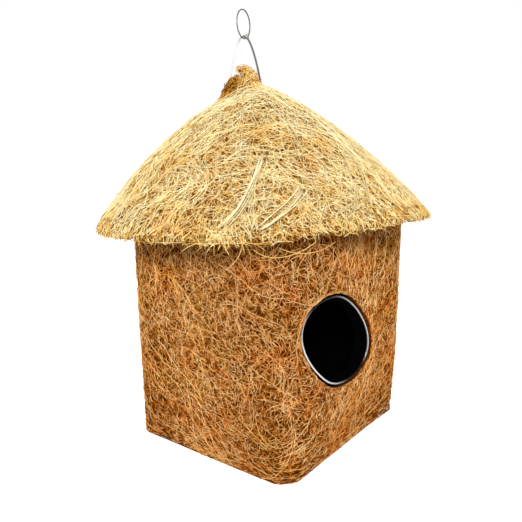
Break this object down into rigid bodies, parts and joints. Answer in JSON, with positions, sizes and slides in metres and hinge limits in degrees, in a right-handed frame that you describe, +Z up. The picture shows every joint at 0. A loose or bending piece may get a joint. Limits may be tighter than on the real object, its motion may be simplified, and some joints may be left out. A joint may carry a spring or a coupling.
{
  "type": "bird nest hut",
  "caption": "Hanging coir nest hut for small birds, with a square foot, an oval entrance, a conical coir roof, a black liner and a wire hanger with a ring.",
  "frame": {"origin": "centre of the square footprint, on the surface that the hut stands on", "axes": "+Z up to the hanging ring, -Y out of the entrance, the -X and -Y walls are the ones in the picture"},
  "size_m": [0.258, 0.258, 0.3294],
  "materials": {
    "body_coir": "golden brown coir fibre mat",
    "base_coir": "golden brown coir fibre mat",
    "roof_coir": "pale straw coir fibre, combed down the slope",
    "tuft_coir": "straw coir fibre bundle",
    "liner": "matt black sheet",
    "sleeve": "matt black sheet",
    "entrance_wire": "bright galvanised wire",
    "frame_wire": "galvanised wire",
    "hanger_wire": "galvanised wire",
    "ring_wire": "thin galvanised wire"
  },
  "bodies": {
    "hut": {"body_coir_mat": "body_coir", "base_coir_mat": "base_coir", "roof_coir_mat": "roof_coir", "crown_tuft": "tuft_coir", "liner_wall": "liner", "liner_floor": "liner", "entrance_sleeve": "sleeve", "entrance_ring": "entrance_wire", "base_frame_wire": "frame_wire", "top_frame_wire": "frame_wire", "corner_upright_back_right": "frame_wire", "corner_upright_back_left": "frame_wire", "corner_upright_front_left": "frame_wire", "corner_upright_front_right": "frame_wire", "eave_hoop": "frame_wire", "crown_hoop": "frame_wire", "roof_rib_1": "frame_wire", "roof_rib_2": "frame_wire", "roof_rib_3": "frame_wire", "roof_rib_4": "frame_wire", "roof_rib_5": "frame_wire", "roof_rib_6": "frame_wire", "roof_rib_7": "frame_wire", "roof_rib_8": "frame_wire", "hanger_bar": "frame_wire"},
    "hanger": {"hanger_wire": "hanger_wire"},
    "ring": {"hanging_ring": "ring_wire"}
  },
  "joints": [
    {"name": "hanger_swing", "type": "hinge", "parent": "hut", "child": "hanger", "pos_m": [-0.00898, 0.01201, 0.2445], "axis": [-0.599, 0.8007, 0], "range_deg": [-10, 10]},
    {"name": "ring_tip", "type": "hinge", "parent": "hanger", "child": "ring", "pos_m": [-0.00898, 0.01201, 0.30835], "axis": [-0.9854, -0.1702, 0], "range_deg": [-140, 140]}
  ]
}
